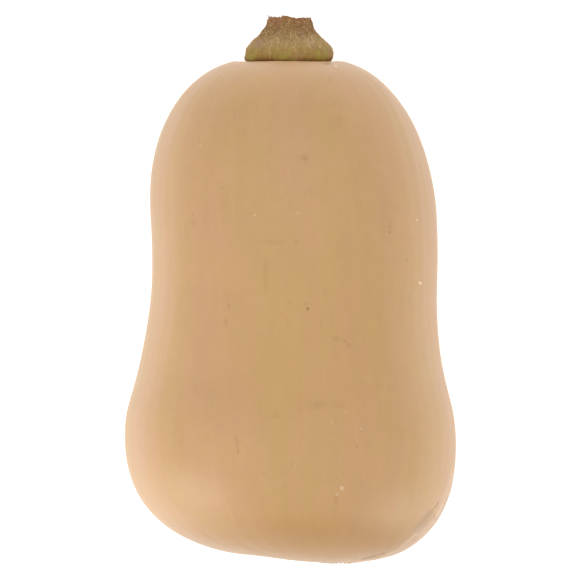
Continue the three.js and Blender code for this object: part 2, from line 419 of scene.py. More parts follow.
def grid_normals(points):
    """Outward normals of a grid of rings."""
    round_way = np.roll(points, -1, axis=1) - np.roll(points, 1, axis=1)
    along_way = np.gradient(points, axis=0)
    normals = np.cross(along_way, round_way)
    size = np.linalg.norm(normals, axis=-1, keepdims=True)
    return normals / np.maximum(size, 1e-12)


def fit_to_box(points, node):
    """Fits points to the box of a CAD node, which they match to a fraction of a millimetre."""
    low, high = (np.array(corner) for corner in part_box(node))
    flat = points.reshape(-1, 3)
    own_low, own_high = flat.min(0), flat.max(0)
    return low + (points - own_low) * (high - low) / (own_high - own_low)


def laid_down(place, node):
    """A grid of places on the squash, laid down on the floor and fitted to the box of a CAD node."""
    return fit_to_box(lay(*np.moveaxis(place, -1, 0)), node)


def closed_rings(grid):
    """Vertices and faces of a grid of rings whose first and last rings are single points."""
    rings, sides = grid.shape[:2]
    inner = grid[1:-1].reshape(-1, grid.shape[2])
    vertices = np.vstack([grid[:1, 0], inner, grid[-1:, 0]])
    side = np.arange(sides)
    following = (side + 1) % sides
    last = len(vertices) - 1
    bottom = np.stack([np.zeros(sides, int), 1 + side, 1 + following], axis=1)
    top_ring = 1 + (rings - 3) * sides
    top = np.stack([np.full(sides, last), top_ring + following, top_ring + side], axis=1)
    ring = np.arange(rings - 3)[:, None] * sides + 1
    quads = np.stack(
        [ring + side, ring + sides + side, ring + sides + following, ring + following], axis=-1
    ).reshape(-1, 4)
    return vertices, bottom.tolist() + quads.tolist() + top.tolist()


def ring_values(values):
    """Values of a grid of rings in the order of its vertices."""
    inner = values[1:-1].reshape(-1, *values.shape[2:])
    return np.concatenate([values[:1, 0], inner, values[-1:, 0]])


def add_piece(name, vertices, faces, material, attributes, node=None):
    """Adds a mesh that rides on the squash, with what its material reads from its points."""
    mesh = bpy.data.meshes.new(name)
    mesh.from_pydata(np.asarray(vertices).tolist(), [], faces)
    mesh.shade_smooth()
    for key, values in attributes.items():
        if values.ndim == 2:
            mesh.attributes.new(key, "FLOAT_VECTOR", "POINT").data.foreach_set("vector", values.ravel())
        else:
            mesh.attributes.new(key, "FLOAT", "POINT").data.foreach_set("value", values)
    mesh.materials.append(material)
    piece = bpy.data.objects.new(name, mesh)
    bpy.context.scene.collection.objects.link(piece)
    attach(piece, "root")
    if node:
        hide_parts(node)


def scrape_distance(place):
    """How far out a place is from the middle of the scrape, with 1 on its edge."""
    away = place - SCRAPE_MIDDLE
    run = away @ SCRAPE_RUN / SCRAPE_HALF_LENGTH
    wide = away[..., 2] / SCRAPE_HALF_WIDTH
    behind = smooth_step(-(away @ SCRAPE_FACES), 14 * MM, 24 * MM)
    uneven = 0.10 * waves(place, 9 * MM, 41) + 0.04 * waves(place, 3 * MM, 42)
    return np.hypot(run, wide) + uneven + 3 * behind


class FruitForm:
    """The smooth form of the fruit, from the same sizes as the solid."""

    def __init__(self, sizes):
        self.sizes = s = sizes
        bulb = (s.bulb_radius, s.bulb_height)
        neck = (s.neck_radius, s.neck_height)
        crown = (s.crown_flat_radius, s.crown_height)
        below_bulb = (s.bulb_radius, s.bulb_height - s.below_bulb_reach)
        above_bulb = (s.bulb_radius, s.bulb_height + s.above_bulb_reach)
        below_neck = (s.neck_radius, s.neck_height - s.below_neck_reach)
        above_neck = (s.neck_radius, s.neck_height + s.above_neck_reach)
        beside_crown = (s.crown_flat_radius + s.crown_reach, s.crown_height)
        low = bezier((0, 0), (s.blossom_end_reach, 0), below_bulb, bulb)
        waist = bezier(bulb, above_bulb, below_neck, neck)
        top = bezier(neck, above_neck, beside_crown, crown)
        flat = np.linspace(crown, (0, s.crown_height), 60)
        self.path = np.vstack([low, waist[1:], top[1:], flat[1:]])
        self.low = low

    def middle(self, height):
        """The middle of the fruit at a height: across, and in depth."""
        bow = BEND_SIDEWAYS * bell(height, BEND_HEIGHT, BEND_SPREAD)
        lean = BEND_LEAN * height / self.sizes.crown_height
        return bow + lean, BACK_BEND * bell(height, BACK_HEIGHT, BACK_SPREAD)

    def relief(self, angle, height):
        """The faint ribs and lobes, which fade out towards both ends, and the slight nip of the waist."""
        top_fade = smooth_step(height, RIBS_FADE_OUT, self.sizes.crown_height)
        fade = smooth_step(height, 0, RIBS_FADE_IN) * (1 - top_fade)
        rib = RIB_RELIEF * np.cos(RIB_COUNT * angle)
        lobe = LOBE_RELIEF * np.cos(LOBE_COUNT * angle + 1)
        return fade * (rib + lobe) - WAIST_NIP * bell(height, WAIST_HEIGHT, WAIST_SPREAD)

    def rings(self, count, sides):
        """The grid of places on the skin. With it come each place's radius on the outline, its angle, its
        length along the skin, and how far it is from the middle of the blossom scar."""
        s = self.sizes
        columns = [values[:, None] for values in even_steps(self.path, count)]
        bulb_ring = np.searchsorted(columns[2][:, 0], even_steps(self.low, 2)[2][-1])
        angle = np.arange(sides) / sides * math.tau
        radius, height, along, angle = np.broadcast_arrays(*columns, angle)
        below = np.arange(count)[:, None] < bulb_ring
        draw = np.where(below, (1 - (radius / s.bulb_radius) ** 2) ** 2, 0)
        across = radius * np.cos(angle) + SCAR_ACROSS * draw
        deep = radius * np.sin(angle) + SCAR_DEPTH * draw
        out = np.hypot(across, deep)
        height = np.where(below, np.interp(out, self.low[:, 0], self.low[:, 1]), height)
        swell = 1 + self.relief(angle, height) / np.maximum(out, 1e-6)
        middle_across, middle_depth = self.middle(height)
        skew = SKEW_SLOPE * across * (1 - smooth_step(height, 0, SKEW_FADES_BY))
        away = np.hypot(across - SCAR_ACROSS, deep - SCAR_DEPTH)
        pit = SCAR_PIT * (1 - smooth_step(away, 0, SCAR_RADIUS))
        lip = SCAR_LIP * bell(away, SCAR_RADIUS, SCAR_RIM - SCAR_RADIUS)
        seat = np.where(height > s.neck_height, SEAT_DIP * (1 - smooth_step(radius, SEAT_FLAT, SEAT_RIM)), 0)
        height = height - skew + np.where(below, pit - lip, -seat)
        place = np.stack(
            [middle_across + across * swell, height, middle_depth + deep * swell * s.depth_share], axis=-1
        )
        return place, radius, angle, along, away


def group_shift(form):
    """How far the solid was moved to put its origin under its middle."""
    place = form.rings(SOLID_RINGS, SOLID_SIDES)[0]
    flat = lay(*np.moveaxis(place, -1, 0)).reshape(-1, 3)
    low, high = (np.array(corner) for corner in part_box("fruit"))
    shift = ((low + high) - (flat.min(0) + flat.max(0))) / 2
    return shift * (1, 1, 0)


class Wire:
    """One output of a node. A sum that is written with wires adds the Math nodes that it needs."""

    def __init__(self, recipe, socket):
        self.recipe = recipe
        self.socket = socket

    def __add__(self, other):
        return self.recipe.maths("ADD", self, other)

    __radd__ = __add__

    def __sub__(self, other):
        return self.recipe.maths("SUBTRACT", self, other)

    def __rsub__(self, other):
        return self.recipe.maths("SUBTRACT", other, self)

    def __mul__(self, other):
        return self.recipe.maths("MULTIPLY", self, other)

    __rmul__ = __mul__


class Recipe:
    """The nodes of a material or of the world."""

    def __init__(self, tree):
        self.tree = tree
        tree.nodes.clear()

    def node(self, kind, settings=None, inputs=None, output=0):
        """Adds a node: its settings first, then the values or wires of its sockets."""
        made = self.tree.nodes.new(kind)
        for key, value in (settings or {}).items():
            if key == "stops":
                self.set_stops(made.color_ramp, value)
            else:
                setattr(made, key, value)
        for key, value in (inputs or {}).items():
            self.feed(self.socket(made.inputs, key), value)
        if output is not None:
            return Wire(self, self.socket(made.outputs, output))

    def socket(self, sockets, key):
        if isinstance(key, int):
            return sockets[key]
        return next(s for s in sockets if key in (s.identifier, s.name))

    def feed(self, socket, value):
        if isinstance(value, Wire):
            self.tree.links.new(value.socket, socket)
        elif socket.type == "RGBA" and len(value) == 3:
            socket.default_value = (*value, 1)
        else:
            socket.default_value = value

    def set_stops(self, ramp, stops):
        while len(ramp.elements) < len(stops):
            ramp.elements.new(1)
        for element, (position, shade) in zip(ramp.elements, stops):
            element.position = position
            element.color = (*shade, 1)

    def maths(self, operation, *values):
        return self.node("ShaderNodeMath", {"operation": operation}, dict(enumerate(values)))

    def clamped(self, value):
        return self.node("ShaderNodeClamp", None, {"Value": value})

    def step(self, value, low, high):
        """0 below low and 1 above high, with a smooth rise between, or a fall where low is above high."""
        settings = {"interpolation_type": "SMOOTHSTEP"}
        if low < high:
            inputs = {"Value": value, "From Min": low, "From Max": high}
            return self.node("ShaderNodeMapRange", settings, inputs)
        inputs = {"Value": value, "From Min": high, "From Max": low, "To Min": 1.0, "To Max": 0.0}
        return self.node("ShaderNodeMapRange", settings, inputs)

    def attribute(self, name, output="Vector"):
        return self.node("ShaderNodeAttribute", {"attribute_name": name}, output=output)

    def vector(self, operation, *values, output="Vector"):
        return self.node("ShaderNodeVectorMath", {"operation": operation}, dict(enumerate(values)), output)

    def noise(self, place, size, detail=2.0, roughness=0.5, **more):
        """An even noise from 0 to 1 with features of about the given size in metres."""
        inputs = {"Vector": place, "Scale": 1 / size, "Detail": detail, "Roughness": roughness, **more}
        return self.node("ShaderNodeTexNoise", None, inputs)

    def cells(self, place, size, output="Distance", **settings):
        inputs = {"Vector": place, "Scale": 1 / size}
        return self.node("ShaderNodeTexVoronoi", settings, inputs, output)

    def blend(self, amount, first, second, mode="MIX"):
        """One colour laid over another."""
        settings = {"data_type": "RGBA", "blend_type": mode}
        inputs = {"Factor_Float": amount, "A_Color": first, "B_Color": second}
        return self.node("ShaderNodeMix", settings, inputs, "Result_Color")

    def scaled(self, shade, factor):
        """A colour or a direction times a factor."""
        return self.node("ShaderNodeVectorMath", {"operation": "SCALE"}, {"Vector": shade, "Scale": factor})

    def wobble(self, place, size, detail):
        """An even noise with three numbers from 0 to 1, by which places are moved unevenly."""
        inputs = {"Vector": place, "Scale": 1 / size, "Detail": detail}
        return self.node("ShaderNodeTexNoise", None, inputs, "Color")

    def moved(self, place, wobble, reach):
        """A place moved by a wobble, to either side by up to half the reach."""
        either_way = self.vector("SUBTRACT", wobble, (0.5, 0.5, 0.5))
        return self.vector("ADD", place, self.scaled(either_way, reach))

    def part(self, place, axis):
        """One of the three numbers of a place or a direction."""
        return self.node("ShaderNodeSeparateXYZ", None, {0: place}, axis)

    def bump(self, height, distance):
        inputs = {"Height": height, "Distance": distance, "Strength": 1.0}
        return self.node("ShaderNodeBump", None, inputs)


class Finish(Recipe):
    """A material and its nodes."""

    def __init__(self, name):
        self.material = bpy.data.materials.new(name)
        self.material.use_nodes = True
        super().__init__(self.material.node_tree)

    def surface(self, **sockets):
        """Ends the recipe with the shader. Spaces in its sockets' names are written as underscores."""
        inputs = {key.replace("_", " "): value for key, value in sockets.items()}
        shader = self.node("ShaderNodeBsdfPrincipled", None, inputs)
        self.node("ShaderNodeOutputMaterial", None, {"Surface": shader}, None)
        return self.material

    def from_above(self, place):
        """A place as it is seen from above, and 1 on the upper side of the squash."""
        return self.vector("MULTIPLY", place, (1, 1, 0)), self.step(self.part(place, "Z"), -2 * MM, 0)

    def spot(self, place, across, height, half_width, half_height, soft=0.2):
        """1 inside a spot that is seen from above, and 0 outside it. Its sizes are in millimetres."""
        away = self.vector("SUBTRACT", place, (across * MM, height * MM, 0))
        in_halves = self.vector("DIVIDE", away, (half_width * MM, half_height * MM, 1))
        return self.step(self.vector("LENGTH", in_halves, output="Value"), 1, soft)

    def line(self, place, start, end, half_width):
        """1 on a thin straight line that is seen from above, and 0 beside it, in millimetres."""
        start, end = Vector((*start, 0)) * MM, Vector((*end, 0)) * MM
        run = end - start
        away = self.vector("SUBTRACT", place, tuple(start))
        along = self.vector("DOT_PRODUCT", away, tuple(run / run.length_squared), output="Value")
        beside = self.vector("SUBTRACT", away, self.scaled(tuple(run), self.clamped(along)))
        from_line = self.vector("LENGTH", beside, output="Value")
        return self.step(from_line, half_width * MM, half_width * MM * LINE_CORE)


def rind_finish(colours):
    """The rind: tan, with faint bands along it, small marks, a pale healed scrape and a corky scar."""
    f = Finish("squash_rind")
    body = f.attribute("body_place")
    skin = f.attribute("skin_place")
    from_scar = f.attribute("from_scar", "Fac")
    from_crown = f.attribute("from_crown", "Fac")

    # Bands that run from the stem to the blossom end, wide ones and fine ones.
    wide_bands = f.noise(skin, 17 * MM, 3, 0.5)
    fine_bands = f.noise(skin, 4.2 * MM, 3, 0.6)
    dashes = f.noise(skin, 1.3 * MM, 2, 0.5)
    blotches = f.noise(body, 30 * MM, 3, 0.55)
    patches = f.noise(body, 9 * MM, 2, 0.5)
    mottle = f.noise(body, 4 * MM, 3, 0.6)
    shade = f.blend(f.step(wide_bands, 0.36, 0.62), colours.ochre, colours.pink)
    shade = f.blend(f.step(blotches, 0.38, 0.66) * 0.6, shade, colours.rind)
    shade = f.blend(f.step(patches, 0.52, 0.62) * 0.35, shade, colours.pink)
    shade = f.blend(f.step(patches, 0.46, 0.38) * 0.35, shade, colours.ochre)
    shade = f.blend(f.step(from_crown, 48 * MM, 17 * MM) * 0.55, shade, colours.crown)
    seen, upper = f.from_above(body)
    # Less blue over the middle of the side that faces up.
    shade = f.blend(f.spot(seen, 6, 78, 46, 105, 0.15) * upper, shade, colours.upper_middle_tint, "MULTIPLY")
    # Painted shade: darker and warmer towards the blossom end, up to about 20 mm.
    shade = f.blend(f.step(f.part(body, "Y"), 20 * MM, 3 * MM), shade, colours.blossom_end_shade)
    light = 1 + (fine_bands - 0.5) * 0.08 + (mottle - 0.5) * 0.07 + (blotches - 0.5) * 0.10
    light = light - f.step(dashes, 0.64, 0.78) * 0.06 + f.step(dashes, 0.34, 0.22) * 0.05
    shade = f.scaled(shade, light)

    # Lenticels: tiny pale dots, sparse.
    dots = f.step(f.cells(body, LENTICELS_APART), 0.075, 0.03)
    lenticels = dots * f.step(f.cells(body, LENTICELS_APART, "Color"), 0.62, 0.7)
    shade = f.blend(lenticels * 0.35, shade, colours.healed)

    # The marks. Their edges are made uneven by moving the place that they are measured at. The known ones
    # are on the upper side, and a few stray ones are on the others.
    wobble = f.wobble(body, 2.2 * MM, 2.0)
    uneven = f.moved(seen, wobble, 1.1 * MM)
    dark = 0
    for across, high, half_width, half_height, darkness in SPOTS:
        dark = f.spot(uneven, across, high, half_width, half_height) * darkness + dark
    for x0, h0, x1, h1, half_width, darkness in SCRATCHES:
        dark = f.line(seen, (x0, h0), (x1, h1), half_width) * darkness + dark
    strewn = f.moved(body, wobble, 1.1 * MM)
    stray = f.step(f.cells(strewn, STRAY_MARKS_APART), 0.06, 0.02)
    stray = stray * f.step(f.cells(strewn, STRAY_MARKS_APART, "Color"), 0.3, 0.7)
    dark = f.clamped(dark) * upper + stray * (1 - upper) * 0.4
    shade = f.blend(dark, shade, colours.mark)
    # Pale specks, and a painted highlight on the crown beside the stem.
    pale = 0
    for across, high, half_width, paleness in PALE_SPECKS_AND_GLINT:
        pale = f.spot(uneven, across, high, half_width, half_width) * paleness + pale
    shade = f.blend(f.clamped(pale) * upper, shade, colours.bloom_and_glint)

    # The healed scrape: pale and dull, with a paler edge, a grey brown patch and thin cracks beside it.
    from_scrape = f.attribute("from_scrape", "Fac")
    healed = f.step(from_scrape + (mottle - 0.5) * 0.25, 1.0, 0.86)
    scrape_edge = f.step(from_scrape + (mottle - 0.5) * 0.2, 1.12, 0.99) * f.step(from_scrape, 0.72, 0.92)
    scrape_shade = f.blend(f.step(patches, 0.42, 0.60), colours.healed, colours.pink)
    shade = f.blend(healed * 0.5, shade, scrape_shade)
    wisps = f.step(f.noise(body, 2.2 * MM, 3, 0.6, Distortion=1.5), 0.56, 0.70)
    flecks = f.step(f.noise(body, 1.7 * MM, 3, 0.7, Distortion=1.0), 0.54, 0.66)
    shade = f.blend(healed * wisps * 0.25, shade, colours.bloom_and_glint)
    shade = f.blend(scrape_edge * (wisps * 0.28 + 0.08), shade, colours.bloom_and_glint)
    shade = f.blend(healed * flecks * 0.5, shade, colours.cork)
    patch = f.line(uneven, (48.3, 11.5), (52.9, 17.5), 2.6) * upper
    shade = f.blend(patch * 0.38, shade, colours.cork)

    # The blossom scar: grey brown cork with a cracked rim.
    cracks = f.cells(strewn, 1.6 * MM, feature="DISTANCE_TO_EDGE")
    cork = f.step(from_scar + (mottle - 0.5) * 2.2 * MM, 7.4 * MM, 4.8 * MM)
    cork_shade = f.blend(f.step(cracks, 0.0, 0.22), colours.mark, colours.cork)
    shade = f.blend(cork, shade, cork_shade)

    # Relief too fine for the mesh: grain along the fruit, and the slight orange peel of the rind.
    grain = f.noise(skin, 1.1 * MM, 3, 0.6)
    peel = f.noise(body, 1.5 * MM, 2, 0.5)
    relief = grain * 0.5 + peel * 0.45 + lenticels * 0.5 - dark * 0.8 + cork * f.step(cracks, 0.0, 0.3) * 1.2
    normal = f.bump(relief, 0.05 * MM)
    roughness = 0.37 + (blotches - 0.5) * 0.16 + (fine_bands - 0.5) * 0.10 + cork * 0.35 + dark * 0.2
    return f.surface(
        Base_Color=shade,
        Roughness=roughness,
        Normal=normal,
        IOR=1.45,
        Specular_IOR_Level=0.4,
        Subsurface_Weight=0.08,
        Subsurface_Radius=(1.0, 0.45, 0.2),
        Subsurface_Scale=3 * MM,
    )


def stem_finish(colours):
    """The dry stem: olive at the foot, brown at the torn tip, with beige warts and streaks."""
    f = Finish("squash_stem")
    body = f.attribute("body_place")
    grain_place = f.attribute("grain_place")
    rise = f.attribute("rise", "Fac")
    warts = f.attribute("wart", "Fac")
    valley = f.attribute("valley", "Fac")
    torn = f.attribute("torn", "Fac")

    blotches = f.noise(body, 5 * MM, 3, 0.6)
    streaks = f.noise(grain_place, 0.9 * MM, 3, 0.65)
    grain = f.noise(body, 0.45 * MM, 3, 0.7)
    uneven_rise = rise + (blotches - 0.5) * 0.30 + (streaks - 0.5) * 0.12
    # The colours by height begin with painted shade in the crease at the foot.
    stops = (
        (0.00, colours.crease_shade),
        (0.10, colours.olive),
        (0.45, colours.tan),
        (0.76, colours.brown),
        (0.97, colours.rust),
    )
    shade = f.node("ShaderNodeValToRGB", {"stops": stops}, {"Fac": uneven_rise}, "Color")
    flush = f.step(f.noise(body, 6.5 * MM, 2, 0.5), 0.53, 0.66) * f.step(rise, 0.8, 0.5)
    shade = f.blend(flush * 0.6, shade, colours.flush)
    green = f.step(blotches, 0.50, 0.62) * f.step(rise, 0.40, 0.18)
    shade = f.blend(green * 0.75, shade, colours.green)
    shade = f.scaled(shade, 1 + (streaks - 0.5) * 0.5 + (grain - 0.5) * 0.6)

    seen, upper = f.from_above(body)
    wobble = f.wobble(body, 1.4 * MM, 3.0)
    uneven = f.moved(seen, wobble, 2.2 * MM)
    for name, across, high, half_width, half_height, amount in STEM_PATCHES:
        patch = f.spot(uneven, across, high, half_width, half_height, 0.3) * upper
        shade = f.blend(patch * amount, shade, getattr(colours, name))

    # Dry granules: beige with dark gaps, partly darker skin and partly painted shade, thickest towards the
    # tip.
    granules = f.cells(f.vector("ADD", body, f.scaled(wobble, 0.5 * MM)), 0.85 * MM)
    thick = f.step(uneven_rise, 0.28, 0.70) * f.step(f.noise(grain_place, 1.6 * MM, 2, 0.5), 0.36, 0.58)
    shade = f.blend(f.step(granules, 0.42, 0.60) * thick * 0.9, shade, colours.crease_shade)
    beige = f.step(granules, 0.32, 0.12) * thick
    wisps = f.step(streaks, 0.62, 0.74) * f.step(rise, 0.04, 0.3) * f.step(rise, 0.8, 0.5) * 0.35
    for points in STEM_WISPS:
        for start, end in zip(points, points[1:]):
            wisps = f.line(uneven, start, end, 0.36) * upper * 0.5 + wisps
    shade = f.blend(f.clamped(beige + wisps + warts * 0.3), shade, colours.granule)
    # Painted shade in the valleys between the ridges at the foot.
    shade = f.blend(valley * f.step(rise, 0.16, 0.02) * 0.3, shade, colours.crease_shade)
    torn_shade = f.blend(f.step(grain, 0.4, 0.65), colours.rust, colours.granule)
    shade = f.blend(torn * 0.7, shade, torn_shade)
    relief = grain * 0.6 + streaks * 0.5 + wisps * 0.4 - f.step(granules, 0.15, 0.6) * thick * 0.9
    return f.surface(
        Base_Color=shade,
        Roughness=0.78 + (grain - 0.5) * 0.3,
        Normal=f.bump(relief, 0.12 * MM),
        Specular_IOR_Level=0.3,
        Sheen_Weight=0.22,
        Sheen_Roughness=0.35,
        Sheen_Tint=(0.92, 0.93, 0.78),
    )


def fibre_finish(colours):
    """Dry fibres and bristles: grey beige, darker in places."""
    f = Finish("squash_dry_fibre")
    body = f.attribute("body_place")
    patches = f.noise(body, 1.5 * MM, 2, 0.6)
    shade = f.blend(f.step(patches, 0.4, 0.65), colours.fibre, colours.brown)
    return f.surface(Base_Color=shade, Roughness=0.7 + (patches - 0.5) * 0.2, Sheen_Weight=0.3)


def floor_finish(glow):
    """A plain white floor that shines a little, as a light table does."""
    f = Finish("plain_floor")
    place = f.node("ShaderNodeNewGeometry", output="Position")
    tone = f.noise(place, 0.4, 2, 0.5)
    shade = f.blend(tone, (0.80, 0.80, 0.80), (0.82, 0.82, 0.82))
    return f.surface(
        Base_Color=shade,
        Roughness=0.9,
        Emission_Color=(1.0, 1.0, 1.0),
        Emission_Strength=glow,
        Specular_IOR_Level=0.1,
    )


class SQUASH_OT_fruit(bpy.types.Operator):
    """Adds the fruit in its rind"""

    bl_idname = "squash.fruit"
    bl_label = "Fruit"

    def execute(self, context):
        sizes = context.scene.squash_fruit
        smooth, radius, angle, along, from_scar = FruitForm(sizes).rings(FRUIT_RINGS, FRUIT_SIDES)
        on_crown = smooth[..., 1] > sizes.neck_height
        on_blossom_end = smooth[..., 1] < sizes.bulb_height
        slow = np.stack([np.cos(angle) * FLUTE_RING, np.sin(angle) * FLUTE_RING, along], axis=-1)
        relief = self.lumps_and_flutes(sizes, smooth, angle, slow)
        near_stem = bell(radius, CROWN_FOLD_RADIUS, CROWN_FOLD_SPREAD) * on_crown
        wide_folds = np.cos(LOBE_COUNT * (angle - FIRST_RIDGE))
        fine_folds = 0.6 * self.fold_wave(angle, slow, CROWN_FOLD_COUNT, 5)
        relief = relief + sizes.crown_folds * near_stem * (wide_folds + fine_folds)
        seat = (1 - smooth_step(radius, SWELL_FLAT, SWELL_RIM)) * on_crown
        relief = relief * (1 - seat) + sizes.seat_swell * seat
        near_scar = bell(from_scar, SCAR_FOLD_RADIUS, SCAR_FOLD_SPREAD) * on_blossom_end
        relief = relief + sizes.scar_folds * near_scar * self.fold_wave(angle, slow, SCAR_FOLD_COUNT, 6)
        relief = relief + self.scrape_relief(smooth)
        place = smooth + grid_normals(smooth) * relief[..., None]
        place[0], place[-1] = place[0, 0], place[-1, 0]
        points = laid_down(place, "fruit")
        vertices, faces = closed_rings(points)
        ring = sizes.neck_radius
        skin = np.stack([np.cos(angle) * ring, np.sin(angle) * ring, along * RIND_STRETCH], axis=-1)
        attributes = {
            "body_place": ring_values(smooth),
            "skin_place": ring_values(skin),
            "from_scar": ring_values(np.where(on_blossom_end, from_scar, 1.0)),
            "from_crown": ring_values(np.where(on_crown, radius, 1.0)),
            "from_scrape": ring_values(np.minimum(scrape_distance(smooth), 3)),
        }
        material = rind_finish(context.scene.squash_fruit_colours)
        add_piece("squash_fruit", vertices, faces, material, attributes, "fruit")
        return {"FINISHED"}

    def lumps_and_flutes(self, sizes, place, angle, slow):
        """The wide shallow lumps of the rind, and the fine flutes that wander along it."""
        relief = sizes.lumps * waves(place, LUMP_SIZE, 11)
        relief = relief + SMALL_LUMP_SHARE * sizes.lumps * waves(place, SMALL_LUMP_SIZE, 12)
        rng = np.random.default_rng(13)
        for count in FLUTE_COUNTS:
            turn = rng.uniform(0, math.tau)
            wander = 0.8 * waves(slow, 60 * MM, count)
            relief = relief + sizes.flutes * np.cos(count * angle + turn + wander)
        return relief

    def fold_wave(self, angle, slow, count, seed):
        """Folds from -1 to 1 round the stem or the scar, uneven in width."""
        return np.cos(count * angle + 2 * waves(slow, 30 * MM, seed))

    def scrape_relief(self, place):
        """The fuller corner and the hollow of the blossom end, and the scrape with its raised edge."""
        across, height = place[..., 0], place[..., 1]
        relief = 0
        for amount, middle, spread, spread_along in (CORNER, HOLLOW):
            relief = relief + amount * bell(across, middle, spread) * bell(height, 0, spread_along)
        away = scrape_distance(place)
        relief = relief - SCRAPE_SUNKEN * (1 - smooth_step(away, 0.8, 0.98))
        return relief + SCRAPE_EDGE * bell(away, 0.98, 0.10)


class SQUASH_OT_stem(bpy.types.Operator):
    """Adds the stub of stem with its ridges, warts and torn tip"""

    bl_idname = "squash.stem"
    bl_label = "Stem"

    def execute(self, context):
        sizes = context.scene.squash_stem
        place, attributes = stem_grid(sizes, context.scene.squash_fruit.crown_height)
        points = laid_down(place, "stem")
        vertices, faces = closed_rings(points)
        values = {key: ring_values(value) for key, value in attributes.items()}
        material = stem_finish(context.scene.squash_stem_colours)
        add_piece("squash_stem", vertices, faces, material, values, "stem")
        return {"FINISHED"}


def stem_grid(s, crown_height):
    """The grid of places on the stem, and what its material reads from them."""
    foot = bezier(
        (s.foot_radius, 0),
        (s.flare_radius + 0.5 * MM, 1 * MM),
        (s.flare_radius + 0.4 * MM, 2.8 * MM),
        (s.flare_radius, s.flare_height),
    )
    flank = bezier(
        (s.flare_radius, s.flare_height),
        (s.flare_radius - 1.2 * MM, s.flare_height + 4 * MM),
        (s.tip_radius + 1 * MM, s.tip_height - 7.4 * MM),
        (s.tip_radius, s.tip_height),
    )
    side_radius, side_height, _ = even_steps(np.vstack([foot, flank[1:]]), FLANK_RINGS)
    under_share = np.linspace(0, 1, UNDER_RINGS, endpoint=False)
    tip_share = np.linspace(1, 0, TIP_RINGS + 1)[1:]
    radius = np.concatenate([s.foot_radius * under_share, side_radius, s.tip_radius * tip_share])[:, None]
    height = np.concatenate([0 * under_share, side_height, s.tip_height + 0 * tip_share])[:, None]
    rim_share = np.concatenate([0 * under_share, 0 * side_radius + 1, tip_share])[:, None]
    on_tip = np.concatenate([0 * under_share, 0 * side_radius, 0 * tip_share + 1])[:, None]
    angle = (np.arange(STEM_SIDES) / STEM_SIDES * math.tau)[None, :]
    rise = height / s.tip_height

    teeth = np.sin(3 * angle + 0.6) * 0.5 + np.sin(7 * angle + 2) * 0.3 + np.sin(11 * angle) * 0.2
    splinters = 0.10 * np.sin(23 * angle + 1) + 0.08 * np.sin(37 * angle + 2 * np.sin(5 * angle))
    over = np.broadcast_to(np.cos(angle) * s.tip_radius, (1, STEM_SIDES)) / MM
    edge = sum(high * bell(over, middle, width) for high, middle, width in TORN_EDGE) - 0.035 * over
    torn = s.rim_teeth * (0.15 * teeth + splinters) + edge * MM
    torn = torn * rim_share - s.hollow * (1 - rim_share**2) * on_tip
    upper = np.maximum(on_tip, smooth_step(rise, 0.75, 1))
    height = height + torn * upper

    wave = np.cos(RIDGE_COUNT * (angle - FIRST_RIDGE))
    sharp = np.where(wave > 0, np.abs(wave) ** 1.6, wave)
    low = smooth_step(height, s.flare_height, s.tip_height * 0.6)
    high = smooth_step(height, s.tip_height * 0.7, s.tip_height)
    ridge_share = RIDGE_AT_FOOT + (RIDGE_AT_WAIST - RIDGE_AT_FOOT) * low
    ridge_share = ridge_share + (RIDGE_AT_TIP - ridge_share) * high
    grooves = 0.012 * np.cos(15 * angle + 0.7) + 0.010 * np.cos(26 * angle + 2 * np.sin(2 * angle))
    flanks = smooth_step(rise, 0.3, 0.75)
    dent = 0.07 * bell(height, 11 * MM, 3.5 * MM) * np.maximum(np.cos(angle - 0.15), 0) ** 3
    spread = 0.045 * (1 - smooth_step(height, 0, 3.5 * MM)) * np.maximum(-np.cos(angle), 0) ** 2
    swell = 1 + sharp * ridge_share + grooves * flanks - dent + spread
    radius, angle, height = np.broadcast_arrays(radius, angle, height)
    across = radius * swell * np.cos(angle)
    deep = radius * swell * np.sin(angle)
    place = np.stack([across, height, deep], axis=-1)

    wart = wart_pattern(s, angle, radius, rise, on_tip)
    rough = 0.10 * MM * waves(place, 1.6 * MM, 22, 16) + 0.05 * MM * waves(place, 0.8 * MM, 23, 16)
    relief = s.wart_height * wart + rough * smooth_step(rise, 0.0, 0.25) + 0.5 * rough * on_tip
    place = place + grid_normals(place) * relief[..., None]
    place[0], place[-1] = place[0, 0], place[-1, 0]

    lean = -0.35 * MM + 0.01 * place[..., 1]
    body = place + np.stack([lean, 0 * lean + crown_height - SEAT_DIP + s.gap, 0 * lean], axis=-1)
    ring = 10 * MM
    drawn_out = place[..., 1] * STEM_STRETCH
    streak_place = np.stack([np.cos(angle) * ring, np.sin(angle) * ring, drawn_out], axis=-1)
    ones = np.ones(place.shape[:2])
    attributes = {
        "body_place": body,
        "grain_place": streak_place,
        "rise": rise * ones,
        "wart": wart,
        "valley": smooth_step(-wave, -0.2, 0.9) * ones,
        "torn": on_tip * ones,
    }
    return body, attributes


def wart_pattern(s, angle, radius, rise, on_tip):
    """1 in the middle of each wart on the stem's flanks, and 0 away from them."""
    rng = np.random.default_rng(21)
    wart_angle = rng.uniform(0, math.tau, s.warts)
    wart_rise = WARTS_FROM + WARTS_RANGE * rng.beta(1.9, 1.3, s.warts)
    wart_size = rng.uniform(*WART_SIZES, s.warts) * MM
    pattern = np.zeros(angle.shape)
    rise = np.broadcast_to(rise, angle.shape)
    for middle, wart_height, size in zip(wart_angle, wart_rise, wart_size):
        rows = np.abs(rise[:, 0] - wart_height) * s.tip_height < 2.5 * size
        rows &= on_tip[:, 0] < 0.5
        turn = (angle[rows] - middle + math.pi) % math.tau - math.pi
        away = np.hypot(turn * radius[rows], (rise[rows] - wart_height) * s.tip_height * 0.9)
        pattern[rows] = np.maximum(pattern[rows], np.exp(-((away / size) ** 2)))
    return pattern


